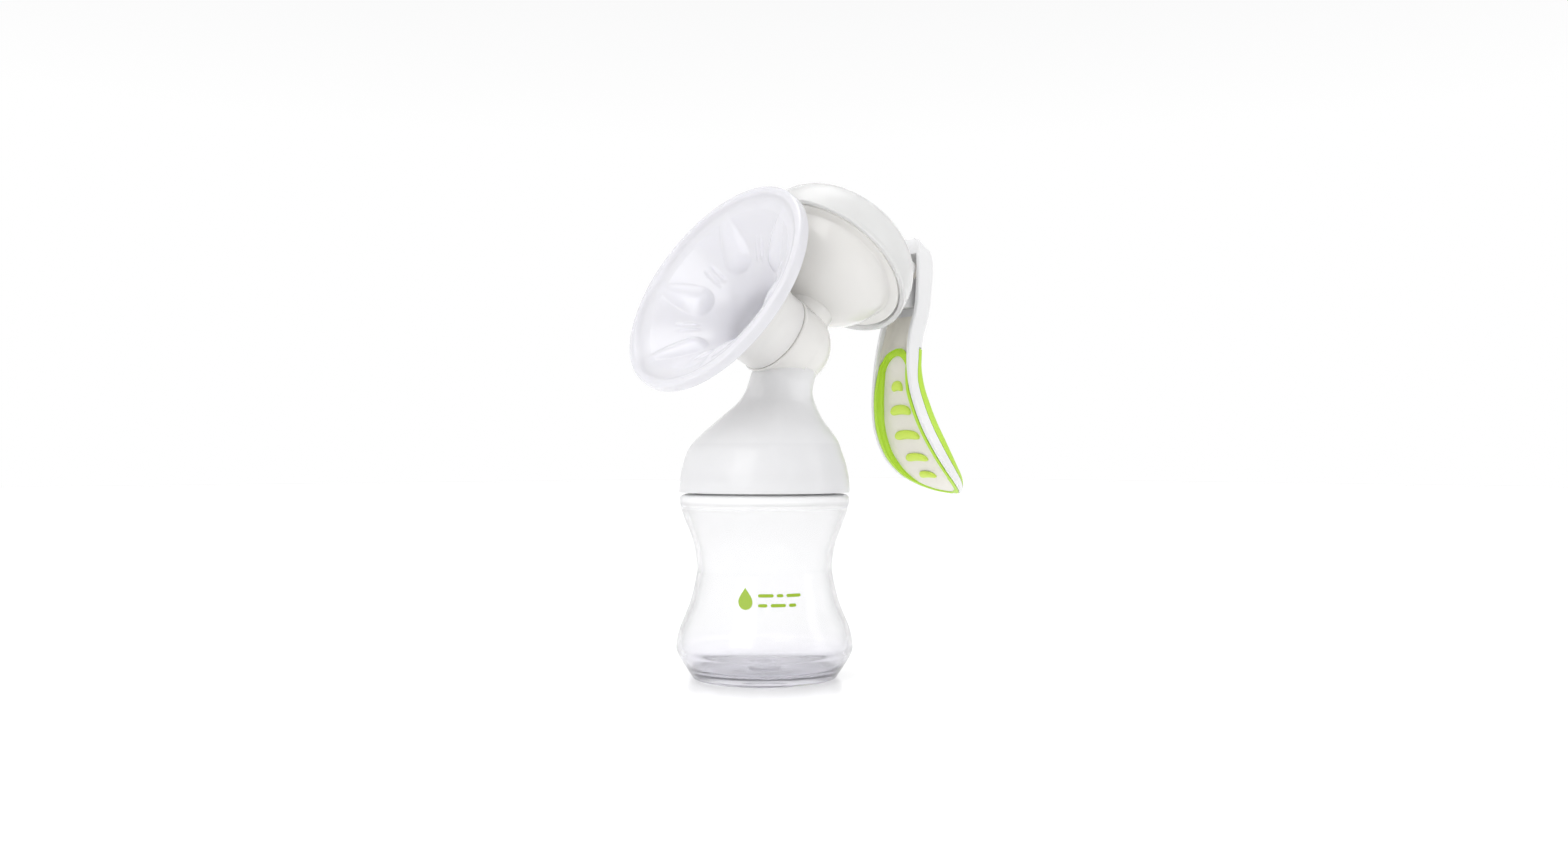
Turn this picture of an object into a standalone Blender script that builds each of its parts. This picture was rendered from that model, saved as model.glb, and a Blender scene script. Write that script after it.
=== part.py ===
"""Hand-operated breast pump on a feeding bottle, as separate pieces.

Frame: origin at the centre of the bottle's base, +Z up, +X towards the handle, so the funnel
faces -X. The pump is symmetric about Y = 0. Lengths below are in millimetres, and MM turns
them into Blender's metres when a mesh is made.
"""

from math import cos, pi, radians, sin, tau

import bmesh
import bpy
from mathutils import Matrix, Vector

MM = 0.001
GAP = 0.3  # between pieces that touch on the real object
ROUND = 24  # flats round a large turned piece
FINE = 16  # flats round a small turned piece
SHARP = radians(38)  # edges sharper than this stay hard

# Bottle
BASE_PAD_R = 9.0
BASE_RECESS = 1.0
STAND_R = (24.0, 26.2)  # standing ring, inside and outside
BOTTLE_WALL = 1.7
BOTTLE_SIDE = [(26.2, 0.0), (28.3, 3.2), (31.3, 8.0), (32.0, 11.6), (30.8, 17.4), (27.1, 26.6),
               (24.9, 36.0), (24.6, 40.4), (25.9, 48.2), (29.3, 57.4), (30.8, 62.4), (30.1, 65.0)]
NECK_R = 25.5
NECK_BORE = 23.6
NECK_TOP = 80.6
SHOULDER_Z = 65.7

# Screw thread between the bottle and the pump body
THREAD_LEAD = 4.5
THREAD_TURNS = 1.25
THREAD_Z = 71.5
THREAD_HALF = 0.85
MALE_CREST = 26.9
FEMALE_CREST = 26.2

# Pump body: bell skirt and throat as (axis shift in X, height, radius)
BELL = [(0.0, 66.4, 31.1), (0.0, 70.0, 30.9), (0.0, 75.8, 29.9), (0.0, 81.2, 28.1),
        (0.8, 84.9, 26.2), (1.9, 89.2, 22.6), (3.1, 93.5, 18.6), (5.3, 98.3, 14.8),
        (6.5, 102.0, 12.8), (7.8, 106.0, 12.1), (9.4, 110.2, 12.1), (10.6, 114.0, 11.2)]
BELL_HOLLOW = [(0.0, 64.0, 29.2), (0.0, 70.0, 28.9), (0.0, 75.8, 27.9), (0.0, 80.2, 26.5), (0.0, 82.6, 26.0)]
DOME_HOLLOW = [(0.0, 81.0, 23.4), (0.6, 84.4, 23.4), (1.9, 88.8, 20.2), (3.1, 93.0, 16.2), (4.4, 96.4, 13.0)]
NOZZLE_X = 6.0
NOZZLE_R = (4.0, 6.0)
NOZZLE_Z = (87.0, 98.0)
VALVE = [(95.6, 7.6, 7.6), (86.0, 7.6, 7.6), (80.0, 7.0, 4.6), (71.0, 7.4, 1.4)]  # height and half-widths
VALVE_HOLLOW = [(96.6, 6.3, 6.3), (86.4, 6.3, 6.3), (80.0, 5.8, 3.4), (70.0, 6.0, 0.3)]
BULB = (12.4, 0.0, 120.8)
BULB_R = 15.2
BULB_WALL = 1.9

# Diaphragm bowl, and the frame of everything on its axis: +Z is the way the stem is pulled
BOWL = (34.8, 0.0, 155.7)
BOWL_AXIS = (0.6756, 0.0, 0.7373)
BOWL_R = 26.8
BOWL_WALL = 1.8
FLANGE = (30.4, -5.2, -3.4)  # radius, underside and top of the collar inside the cover
LINK_R = (6.5, 9.8)  # tube between bulb and bowl

# Chamber cover: a squarish dome with a hood for the lever arm
COVER_R = 33.0
COVER_H = 22.3
COVER_LOW = -5.5  # the cover's open edge, below the bowl's own mouth
COVER_WALL = 1.8
COVER_POWER = 2.83
HOOD = [(51.5, 161.7), (61.0, 161.2), (71.5, 157.7), (73.3, 156.2), (73.3, 154.0), (71.0, 151.5),
        (65.5, 148.0), (61.5, 141.0), (58.0, 137.2), (54.8, 139.8), (52.4, 143.8), (54.5, 153.0),
        (50.8, 159.8)]  # side view of the hood round the arm
ARM_SLOT = [(46.0, 147.1), (69.0, 126.0), (90.0, 126.0), (90.0, 154.4), (72.0, 154.6), (61.0, 158.0),
            (54.0, 152.5)]  # side view of the arm's way out
HOOD_HALF = 7.2
SLOT_HALF = 5.4
ARM_HALF = 4.9

# Funnel, in the frame of its own axis: +Z points out of the funnel's mouth
MOUTH = (-24.3, 0.0, 140.0)
MOUTH_AXIS = (-0.880, 0.0, 0.475)
CONE = [(40.7, -2.7), (35.4, -6.8), (27.6, -12.6), (20.8, -18.0), (16.9, -22.6), (15.4, -27.0)]
SHIELD_WALL = 2.0
STUB_R = (11.8, 13.4)
SEAM_S = -32.2
STUB_S = -37.4
SOCKET_R = (14.1, 15.6)
RING_GROOVE = (-36.0, -34.4)
CUSHION_THICK = 2.4
LIP_R = 42.2

# Lever: pivot, then the channel along its open edge as (X, Z, half-width, depth)
PIVOT = (56.9, 0.0, 143.6)
PIN_R = 1.8
PIN_HALF = 6.7
LEVER = [(77.4, 168.2, 3.6, 2.4), (75.2, 167.0, 6.6, 6.0), (73.6, 163.4, 8.4, 9.0), (72.8, 156.0, 9.2, 10.2),
         (72.4, 148.0, 9.2, 9.9), (71.6, 139.0, 9.0, 9.5), (68.2, 129.0, 9.0, 9.3), (66.2, 118.0, 9.8, 9.2),
         (66.1, 108.0, 11.0, 9.4), (67.6, 98.5, 12.9, 9.6), (71.0, 89.2, 14.7, 9.2), (77.2, 79.8, 15.8, 8.4),
         (85.0, 72.6, 14.9, 7.2), (92.6, 68.2, 12.2, 5.9), (99.0, 65.6, 8.4, 4.6), (103.8, 64.4, 4.2, 3.2),
         (106.0, 64.1, 1.6, 1.8)]
WEB = [(56.9, 140.2), (62.0, 138.6), (77.0, 139.6), (78.5, 141.0), (80.2, 151.6), (79.4, 152.4),
       (64.0, 148.2), (56.9, 147.0)]  # side view of the web between the pivot and the channel
ARM = [(24.5, 3.2), (24.5, 9.3), (6.5, 3.4), (-2.4, 2.4), (-3.4, 1.7), (-3.2, 0.7), (-2.2, 0.3),
       (5.0, 0.3)]  # side view of the arm, in the bowl's frame
FORK_SLOT = [(-6.0, -6.0), (-6.0, 9.0), (3.4, 9.0), (3.4, -6.0)]
WALL = 1.6  # channel's side walls
FLOOR = 3.0  # channel's back, pad included
PANEL = 2.4  # how much thicker the back is behind the grip
PANEL_SPAN = (0.39, 0.42)  # shares of the length over which it thickens
PAD = 1.3  # thickness of the outer grip pad
PAD_REACH = 3.4  # how far the pad comes round onto the sides
LINER = 1.3  # thickness of the inner grip rim
STATIONS = 32  # sections along the whole lever
PAD_SPAN = (13, 30)  # first and last station of each piece
RECESS_SPAN = (5, 31)
LINER_SPAN = (13, 30)
OPEN_SPAN = (14, 29)
CUT_SHIFT = 0.0006  # keeps the cutters' sections off the lever's own
END_GAP = 0.004  # room past the pad's ends, as a share of the lever's length
BARS = [(0.505, 2.8), (0.573, 5.4), (0.643, 6.6), (0.705, 5.8), (0.765, 4.2)]  # place and half-length
BAR_HALF = 2.0
BAR_RISE = 1.3
BAR_ARCH = 1.6  # how far a bar's middle stands above its ends, along the lever


def clear_scene():
    for item in list(bpy.data.objects):
        bpy.data.objects.remove(item)


def plastic(name, colour, rough, clear=0.0):
    made = bpy.data.materials.new(name)
    made.use_nodes = True
    shader = made.node_tree.nodes["Principled BSDF"]
    shader.inputs["Base Color"].default_value = (*colour, 1.0)
    shader.inputs["Roughness"].default_value = rough
    shader.inputs["Metallic"].default_value = 0.0
    shader.inputs["Transmission Weight"].default_value = clear
    return made


def along(point, axis):
    """Matrix of a frame at point whose +Z runs along axis and whose Y is the pump's Y."""
    z = Vector(axis).normalized()
    y = Vector((0.0, 1.0, 0.0))
    turn = Matrix((y.cross(z), y, z)).transposed().to_4x4()
    return Matrix.Translation(Vector(point) * MM) @ turn


def smooth(points, parts):
    """Smooth curve through all the points, with each span in so many parts."""
    rows = [Vector(p) for p in points]
    ends = [rows[0] * 2 - rows[1], *rows, rows[-1] * 2 - rows[-2]]
    curve = []
    for a, b, c, d in zip(ends, ends[1:], ends[2:], ends[3:]):
        for step in range(parts):
            t = step / parts
            curve.append(0.5 * (2 * b + (c - a) * t + (2 * a - 5 * b + 4 * c - d) * t**2
                                + (3 * b - a - 3 * c + d) * t**3))
    return [*curve, rows[-1]]


def inset(points, distance):
    """The same open curve moved sideways, to the left of its direction."""
    moved = []
    for index, point in enumerate(points):
        run = Vector(points[min(index + 1, len(points) - 1)]) - Vector(points[max(index - 1, 0)])
        run.normalize()
        moved.append(Vector(point) + distance * Vector((-run.y, run.x)))
    return moved


def finish(name, bm, material, place):
    bmesh.ops.remove_doubles(bm, verts=bm.verts, dist=1e-4)
    bmesh.ops.recalc_face_normals(bm, faces=bm.faces)
    bmesh.ops.scale(bm, vec=(MM, MM, MM), verts=bm.verts)
    mesh = bpy.data.meshes.new(name)
    bm.to_mesh(mesh)
    bm.free()
    mesh.shade_smooth()
    mesh.set_sharp_from_angle(angle=SHARP)
    mesh.materials.append(material)
    made = bpy.data.objects.new(name, mesh)
    bpy.context.collection.objects.link(made)
    made.matrix_world = place
    return made


def turned(name, profile, material, place=Matrix(), steps=ROUND):
    """Solid of revolution from (radius, height) points. A profile on the axis stays open there."""
    bm = bmesh.new()
    verts = [bm.verts.new((p[0], 0.0, p[1])) for p in profile]
    edges = [bm.edges.new(pair) for pair in zip(verts, verts[1:])]
    if profile[0][0] > 0 or profile[-1][0] > 0:
        edges.append(bm.edges.new((verts[-1], verts[0])))
    bmesh.ops.spin(bm, geom=verts + edges, cent=(0, 0, 0), axis=(0, 0, 1), angle=tau, steps=steps,
                   use_merge=True)
    return finish(name, bm, material, place)


def lofted(name, rings, material, place=Matrix()):
    """Closed solid through rings of points with one count."""
    bm = bmesh.new()
    loops = [[bm.verts.new(p) for p in ring] for ring in rings]
    for low, high in zip(loops, loops[1:]):
        for a, b, c, d in zip(low, low[1:] + low[:1], high[1:] + high[:1], high):
            bm.faces.new((a, b, c, d))
    bm.faces.new(loops[0][::-1])
    bm.faces.new(loops[-1])
    return finish(name, bm, material, place)


def circle(x, z, rx, ry=None, steps=ROUND):
    """Level ring of points about (x, 0, z)."""
    ry = rx if ry is None else ry
    return [(x + rx * cos(tau * k / steps), ry * sin(tau * k / steps), z) for k in range(steps)]


def plate(name, outline, low, high, material, place=Matrix()):
    """Prism across Y from an outline of (x, z) points."""
    return lofted(name, [[(x, y, z) for x, z in outline] for y in (low, high)], material, place)


def ball(name, radius, material, place, parts):
    arc = [(radius * sin(pi * k / parts), -radius * cos(pi * k / parts)) for k in range(1, parts)]
    return turned(name, [(0.0, -radius), *arc, (0.0, radius)], material, place, parts * 2)


def rod(name, radius, low, high, material, place, steps=FINE):
    return turned(name, [(0.0, low), (radius, low), (radius, high), (0.0, high)], material, place, steps)


def combine(target, tool, operation):
    tool.hide_render = True
    tool.display_type = "WIRE"
    change = target.modifiers.new(tool.name, "BOOLEAN")
    change.operation = operation
    change.object = tool


def ridge(name, root, crest, start, material):
    """Helical thread ridge whose ends sink into the wall at its root."""
    steps = int(THREAD_TURNS * 24)
    fade = 3
    rings = []
    for k in range(steps + 1):
        turn = tau * THREAD_TURNS * k / steps
        height = start + THREAD_LEAD * turn / tau
        share = min(1.0, 0.1 + k / fade, 0.1 + (steps - k) / fade)
        top = root + (crest - root) * share
        around = Vector((cos(turn), sin(turn), 0.0))
        back = root + (0.35 if crest < root else -0.35)
        section = ((back, -THREAD_HALF), (root, -THREAD_HALF), (top, -THREAD_HALF * 0.45),
                   (top, THREAD_HALF * 0.45), (root, THREAD_HALF), (back, THREAD_HALF))
        rings.append([around * r + Vector((0.0, 0.0, height + dz)) for r, dz in section])
    return lofted(name, rings, material)


def bottle(material):
    side = [tuple(p) for p in smooth(BOTTLE_SIDE, 2)]
    inside = [tuple(p) for p in inset(smooth(BOTTLE_SIDE[2:-1], 2), BOTTLE_WALL)]
    profile = [(0.0, 0.0), (BASE_PAD_R, 0.0), (BASE_PAD_R + 1.0, BASE_RECESS), (STAND_R[0] - 1.0, BASE_RECESS),
               (STAND_R[0], 0.0), *side, (28.6, SHOULDER_Z), (NECK_R, SHOULDER_Z + 0.3),
               (NECK_R, NECK_TOP - 0.4), (NECK_R - 0.4, NECK_TOP), (NECK_BORE + 0.3, NECK_TOP),
               (NECK_BORE, NECK_TOP - 0.4), (NECK_BORE, SHOULDER_Z), (26.6, SHOULDER_Z - 2.4),
               *reversed(inside), (26.0, 4.0), (22.0, 2.8), (0.0, 2.8)]
    made = turned("bottle", profile, material, steps=28)
    combine(made, ridge("bottle_thread", NECK_R, MALE_CREST, THREAD_Z, material), "UNION")


def bell(name, stations, material):
    return lofted(name, [circle(x, z, r, steps=28) for x, z, r in stations], material)


def pump_body(material):
    funnel = along(MOUTH, MOUTH_AXIS)
    bowl = along(BOWL, BOWL_AXIS)
    link = along(BULB, Vector(BOWL) - Vector(BULB))
    bulb = along(BULB, MOUTH_AXIS)
    body = bell("pump_body", BELL, material)
    half = [(BOWL_R * sin(a), -BOWL_R * cos(a)) for a in [pi * k / 20 for k in range(1, 9)]]
    cup = [(0.0, -BOWL_R), *half, (26.3, FLANGE[1]), FLANGE[:2], (FLANGE[0], FLANGE[2]), (BOWL_R, FLANGE[2]),
           (BOWL_R, 0.0), (0.0, 0.0)]
    bulb_s = (Vector(BULB) - Vector(MOUTH)).dot(Vector(MOUTH_AXIS).normalized())
    for tool in (ball("body_bulb", BULB_R, material, bulb, 12),
                 rod("body_socket", SOCKET_R[1], bulb_s - 1.5, SEAM_S - GAP, material, funnel, ROUND),
                 rod("body_link", LINK_R[1], 8.0, 30.0, material, link, FINE),
                 turned("body_bowl", cup, material, bowl)):
        combine(body, tool, "UNION")
    for tool in (bell("body_bell_hollow", BELL_HOLLOW, material),
                 bell("body_dome_hollow", DOME_HOLLOW, material)):
        combine(body, tool, "DIFFERENCE")
    upright = Matrix.Translation((NOZZLE_X * MM, 0.0, 0.0))
    bulb_upright = Matrix.Translation(Vector(BULB) * MM)
    thread = ridge("body_thread", 29.2, FEMALE_CREST, THREAD_Z - THREAD_LEAD / 2, material)
    for tool in (rod("body_nozzle", NOZZLE_R[1], *NOZZLE_Z, material, upright), thread):
        combine(body, tool, "UNION")
    inner = BOWL_R - BOWL_WALL
    hollow = [(inner * sin(a), -inner * cos(a)) for a in [pi * k / 20 for k in range(1, 10)]]
    air = ball("body_air", BULB_R - BULB_WALL, material, bulb_upright, 11)
    for tool in (rod("air_socket", SOCKET_R[0], STUB_S - 1.2, SEAM_S + 8.0, material, funnel, 28),
                 rod("air_way", NOZZLE_R[0], 80.0, 114.0, material, upright, 18),
                 rod("air_link", LINK_R[0], 6.0, 22.0, material, link, 18),
                 turned("air_bowl", [(0.0, -inner), *hollow, (inner, 3.0), (0.0, 3.0)], material, bowl)):
        combine(air, tool, "UNION")
    combine(body, air, "DIFFERENCE")


def cone_shape():
    return [tuple(p) for p in smooth(CONE, 2)]


def breast_shield(material):
    groove_r = STUB_R[1] - 0.85
    outer = cone_shape()
    inner = [tuple(p) for p in inset(outer, -SHIELD_WALL)]
    profile = [*outer, (outer[-1][0], SEAM_S), (STUB_R[1], SEAM_S), (STUB_R[1], RING_GROOVE[1]),
               (groove_r, RING_GROOVE[1]), (groove_r, RING_GROOVE[0]), (STUB_R[1], RING_GROOVE[0]),
               (STUB_R[1], STUB_S), (STUB_R[0], STUB_S), (STUB_R[0], -28.6), *reversed(inner)]
    turned("breast_shield", profile, material, along(MOUTH, MOUTH_AXIS))


def o_ring(material):
    centre, thick = STUB_R[1] - 0.85 + GAP + 0.45, 0.45
    middle = sum(RING_GROOVE) / 2
    profile = [(centre + thick * cos(tau * k / 6), middle + thick * sin(tau * k / 6)) for k in range(6)]
    turned("shield_o_ring", profile, material, along(MOUTH, MOUTH_AXIS))


def massage_cushion(material):
    back = [tuple(p) for p in inset(cone_shape(), -SHIELD_WALL - GAP - 0.1)][1:]
    front = [tuple(p) for p in inset(cone_shape(), -SHIELD_WALL - GAP - CUSHION_THICK)][1:]
    tail = STUB_R[0] - GAP - 0.1
    profile = [(LIP_R - 1.0, -3.4), (LIP_R - 1.0, -0.5), (38.6, -0.3), *back, (tail, -29.0), (tail, -34.2),
               (tail - 1.5, -34.2), (tail - 1.5, -28.7), *reversed(front), (38.4, 0.2), (39.8, 0.9),
               (41.4, 0.6), (LIP_R, -0.5), (LIP_R, -3.4)]
    turned("massage_cushion", profile, material, along(MOUTH, MOUTH_AXIS))


def duckbill_valve(material):
    place = Matrix.Translation((NOZZLE_X * MM, 0.0, 0.0))
    outer = [circle(0, z, rx, ry, FINE) for z, rx, ry in VALVE]
    inner = [circle(0, z, rx, ry, FINE) for z, rx, ry in VALVE_HOLLOW]
    valve = lofted("duckbill_valve", outer, material, place)
    combine(valve, lofted("valve_hollow", inner, material, place), "DIFFERENCE")


def dome(radius, height, low):
    """Profile of a squarish dome standing on COVER_LOW, with its open edge at low."""
    curve = [(0.0, low), (radius, low)]
    share = 2 / COVER_POWER
    for k in range(1, 9):
        angle = pi / 2 * k / 9
        curve.append((radius * cos(angle) ** share, COVER_LOW + height * sin(angle) ** share))
    return [*curve, (0.0, COVER_LOW + height)]


def chamber_cover(material):
    bowl = along(BOWL, BOWL_AXIS)
    pivot = Matrix.Translation(Vector(PIVOT) * MM) @ Matrix.Rotation(pi / 2, 4, "X")
    cover = turned("chamber_cover", dome(COVER_R, COVER_H, COVER_LOW), material, bowl, 28)
    hollow = dome(COVER_R - COVER_WALL, COVER_H - COVER_WALL, COVER_LOW - 3.0)
    combine(cover, turned("cover_hollow", hollow, material, bowl, 26), "DIFFERENCE")
    for tool in (plate("cover_hood", HOOD, -HOOD_HALF, HOOD_HALF, material),
                 rod("cover_boss", 4.1, -HOOD_HALF + 0.1, HOOD_HALF - 0.1, material, pivot, 14)):
        combine(cover, tool, "UNION")
    for tool in (plate("cover_arm_slot", ARM_SLOT, -SLOT_HALF, SLOT_HALF, material),
                 rod("cover_pin_hole", PIN_R + GAP, -PIN_HALF - 0.2, PIN_HALF + 0.2, material, pivot)):
        combine(cover, tool, "DIFFERENCE")


def diaphragm(material):
    lower = [(24.4, 1.5), (24.4, -1.4), (22.8, -2.0), (20.8, -8.0), (16.6, -12.6), (9.0, -14.6), (2.5, -14.6)]
    upper = [(2.5, -13.4), (9.0, -13.4), (15.7, -11.6), (19.7, -7.4), (21.6, -0.6), (22.2, 1.5)]
    turned("diaphragm", lower + upper, material, along(BOWL, BOWL_AXIS))


def stem(material, soft):
    """Stem from its barbed tip, through its plate and neck, to its head."""
    bowl = along(BOWL, BOWL_AXIS)
    profile = [(0.0, -18.8), (1.6, -18.8), (2.9, -17.2), (2.1, -16.9), (2.1, -13.1), (7.4, -13.1), (7.4, -11.9),
               (2.5, -11.6), (2.5, -3.2), (4.4, -3.0), (4.4, -1.9), (2.0, -1.9), (2.0, 3.7), (4.4, 3.7),
               (4.2, 4.4), (2.6, 4.8), (0.0, 4.8)]
    turned("diaphragm_stem", profile, material, bowl, FINE)
    disc = [(2.5, -16.6), (6.4, -16.6), (7.0, -16.1), (7.0, -14.9), (2.5, -14.9)]
    turned("stem_retaining_disc", disc, soft, bowl, FINE)


def lever_at(share):
    """Edge point, its direction out of the back, half-width and depth at a share of the lever's length."""
    rows = smooth(LEVER, 8)
    at = min(int(share * (len(rows) - 1)), len(rows) - 2)
    here = rows[at].lerp(rows[at + 1], share * (len(rows) - 1) - at)
    run = (rows[at + 1] - rows[at]).to_2d().normalized()
    return Vector((here[0], 0.0, here[1])), Vector((-run.y, 0.0, run.x)), here[2], here[3]


def channel_line(half, top, back, corner):
    """Half round a channel's section, as (y, depth): down one side, round the back and up the other."""
    corner = min(corner, half * 0.8, (back - top) * 0.8)
    turns = [pi / 2 * k / 3 for k in range(4)]
    arc = [(half - corner + corner * cos(a), back - corner + corner * sin(a)) for a in turns]
    right = [(half, top), *arc]
    return right + [(-y, d) for y, d in reversed(right)]


def channel(name, shares, section, material):
    """Solid along the lever, whose section(half-width, depth, share) gives (y, depth) points."""
    rings = []
    for share in shares:
        edge, out, half, depth = lever_at(share)
        rings.append([edge + out * d + Vector((0.0, y, 0.0)) for y, d in section(half, depth, share)])
    return lofted(name, rings, material)


def stations(span):
    """Shares of the lever's length at which a piece has its sections. They are common to all pieces."""
    return [k / STATIONS for k in range(span[0], span[1] + 1)]


def floor_depth(depth, share):
    """How deep the channel's floor lies below its open edge."""
    rise = min(max((share - PANEL_SPAN[0]) / (PANEL_SPAN[1] - PANEL_SPAN[0]), 0.0), 1.0)
    return max(depth - FLOOR - PANEL * rise, 0.6)


def recess_line(half, depth, share, margin=0.0, top=-2.0):
    floor = floor_depth(depth, share)
    corner = min(1.6, 0.75 * max(floor, 0.8))
    return channel_line(max(half - WALL - margin, 0.4), top, max(floor - margin, 0.4), corner)


def liner_top(depth, share):
    """How far below the channel's edge the inner rim's top lies: low over the arch, then level with the edge."""
    rise = min((share - LINER_SPAN[0] / STATIONS) / 0.09, 1.0)
    return (floor_depth(depth, share) - 2.2) * (1 - rise**0.7) - 0.3 * rise


def handle_lever(material):
    bowl = along(BOWL, BOWL_AXIS)
    pivot = Matrix.Translation(Vector(PIVOT) * MM) @ Matrix.Rotation(pi / 2, 4, "X")
    lever = channel("handle_lever", stations((0, STATIONS)), lambda w, d, s: channel_line(w, 0.0, d, 3.2), material)
    room = stations(PAD_SPAN)
    room = [share + 2 * CUT_SHIFT for share in (room[0] - END_GAP, *room, room[-1] + END_GAP)]
    pad_room = channel(
        "lever_pad_room", room,
        lambda w, d, s: band(w, d, PAD_REACH + GAP, -1.0, PAD + GAP), material)
    cuts = [share + CUT_SHIFT for share in stations(RECESS_SPAN)]
    recess = channel("lever_recess", cuts, lambda w, d, s: recess_line(w, d, s), material)
    for tool in (recess, pad_room):
        combine(lever, tool, "DIFFERENCE")
    for tool in (plate("lever_web", WEB, -ARM_HALF, ARM_HALF, material),
                 plate("lever_arm", ARM, -ARM_HALF + 0.1, ARM_HALF - 0.1, material, bowl),
                 rod("lever_hub", 3.6, -ARM_HALF - 0.1, ARM_HALF + 0.1, material, pivot)):
        combine(lever, tool, "UNION")
    for tool in (plate("lever_fork_slot", FORK_SLOT, -2.7, 2.7, material, bowl),
                 rod("lever_pin_hole", PIN_R + GAP, -20.0, 20.0, material, pivot)):
        combine(lever, tool, "DIFFERENCE")
    park(lever)


def park(piece):
    """Put a lever piece's origin on the pivot without moving its mesh."""
    shift = Vector(PIVOT) * MM
    piece.data.transform(Matrix.Translation(-shift))
    piece.matrix_world = Matrix.Translation(shift)


def band(half, depth, reach, outer, inner):
    """Section of a sheet on the channel's back that reaches round its sides: outer and inner are its insets."""
    skin = channel_line(half - outer, depth - reach, depth - outer, 3.2 - min(outer, 0.0))
    core = channel_line(half - inner, depth - reach, depth - inner, 3.2 - inner)
    return skin + core[::-1]


def grip(soft, bright):
    pad = channel("grip_outer_pad", stations(PAD_SPAN),
                  lambda w, d, s: band(w, d, PAD_REACH, 0.0, PAD), soft)
    rim = channel("grip_inner_rim", stations(LINER_SPAN),
                  lambda w, d, s: recess_line(w, d, s, GAP * 1.5, liner_top(d, s)), soft)
    middle = channel("rim_opening", stations(OPEN_SPAN),
                     lambda w, d, s: channel_line(max(w - WALL - GAP - LINER, 0.5), -3.0, d + 3.0, 2.2), soft)
    combine(rim, middle, "DIFFERENCE")
    for piece in (pad, rim):
        park(piece)
    for index, (share, length) in enumerate(BARS, 1):
        park(grip_bar(f"grip_bar_{index}", share, length, bright))


def grip_bar(name, share, length, material):
    """Rounded bar across the channel's floor."""
    edge, out, _, depth = lever_at(share)
    down = Vector((out.z, 0.0, -out.x))
    foot = edge + out * (floor_depth(depth, share) - GAP)
    rings = []
    for k in range(7):
        y = length * (2 * k / 6 - 1)
        slim = (1 - (abs(y) / length) ** 4) ** 0.5 if abs(y) < length else 0.35
        wide = BAR_HALF * max(slim, 0.35)
        section = [(-wide, 0.0), (wide, 0.0), (wide, -BAR_RISE * 0.6), (wide * 0.6, -BAR_RISE),
                   (-wide * 0.6, -BAR_RISE), (-wide, -BAR_RISE * 0.6)]
        sag = BAR_ARCH * ((y / length) ** 2 - 0.5)
        rings.append([foot + down * (a + sag) + out * b + Vector((0.0, y, 0.0)) for a, b in section])
    return lofted(name, rings, material)


def pivot_pin(material):
    place = Matrix.Translation(Vector(PIVOT) * MM) @ Matrix.Rotation(pi / 2, 4, "X")
    profile = [(0.0, -PIN_HALF), (PIN_R - 0.4, -PIN_HALF), (PIN_R, 0.4 - PIN_HALF), (PIN_R, PIN_HALF - 0.4),
               (PIN_R - 0.4, PIN_HALF), (0.0, PIN_HALF)]
    turned("pivot_pin", profile, material, place, FINE)


def seal_ring(material):
    profile = [(24.1, NECK_TOP + GAP), (25.3, NECK_TOP + GAP), (25.6, NECK_TOP + GAP + 0.3),
               (25.6, 82.6 - GAP - 0.3), (25.3, 82.6 - GAP), (24.1, 82.6 - GAP)]
    turned("bottle_seal_ring", profile, material)


def main():
    clear_scene()
    clear = plastic("clear_plastic", (0.86, 0.87, 0.90), 0.22, 0.6)
    frosted = plastic("frosted_plastic", (0.80, 0.80, 0.83), 0.45, 0.4)
    silicone = plastic("silicone", (0.78, 0.77, 0.86), 0.5, 0.3)
    white = plastic("white_plastic", (0.90, 0.90, 0.90), 0.35)
    green = plastic("green_rubber", (0.30, 0.55, 0.06), 0.55)
    lime = plastic("lime_rubber", (0.45, 0.62, 0.08), 0.55)
    bottle(clear)
    seal_ring(silicone)
    pump_body(frosted)
    breast_shield(frosted)
    o_ring(silicone)
    massage_cushion(silicone)
    duckbill_valve(silicone)
    chamber_cover(clear)
    diaphragm(silicone)
    stem(white, white)
    handle_lever(white)
    grip(green, lime)
    pivot_pin(white)


main()
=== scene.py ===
"""Looks of the hand-operated breast pump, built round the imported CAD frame.

The frame's axes hold here too: origin at the centre of the bottle's base, +Z up, +X towards the
handle and -X towards the funnel. Lengths are in millimetres, and MM turns them into metres.
"""

from math import cos, pi, radians, sin, tau

import bmesh
import bpy
from mathutils import Matrix, Vector


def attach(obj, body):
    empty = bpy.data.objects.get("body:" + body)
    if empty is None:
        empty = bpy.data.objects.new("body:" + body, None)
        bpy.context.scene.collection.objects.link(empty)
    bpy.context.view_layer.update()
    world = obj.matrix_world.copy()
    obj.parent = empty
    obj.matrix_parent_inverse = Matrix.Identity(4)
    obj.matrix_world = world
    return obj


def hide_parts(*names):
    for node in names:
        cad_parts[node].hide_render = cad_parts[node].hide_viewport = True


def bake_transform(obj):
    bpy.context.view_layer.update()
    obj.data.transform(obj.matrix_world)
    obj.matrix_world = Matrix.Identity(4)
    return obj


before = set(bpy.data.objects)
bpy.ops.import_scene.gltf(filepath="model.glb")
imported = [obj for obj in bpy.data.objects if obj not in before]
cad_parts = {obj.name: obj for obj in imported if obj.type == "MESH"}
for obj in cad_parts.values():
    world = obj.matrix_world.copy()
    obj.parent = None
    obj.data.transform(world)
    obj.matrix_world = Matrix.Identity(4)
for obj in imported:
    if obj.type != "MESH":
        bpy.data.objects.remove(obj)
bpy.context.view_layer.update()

MM = 0.001
CAMERA_AT, CAMERA_TOWARDS, CAMERA_LENS = (-0.2938, -0.3489, 0.0770), (0.656, 0.755, 0.02357), 28.7  # metres
STEPS = 112  # flats round a large turned piece
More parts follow.
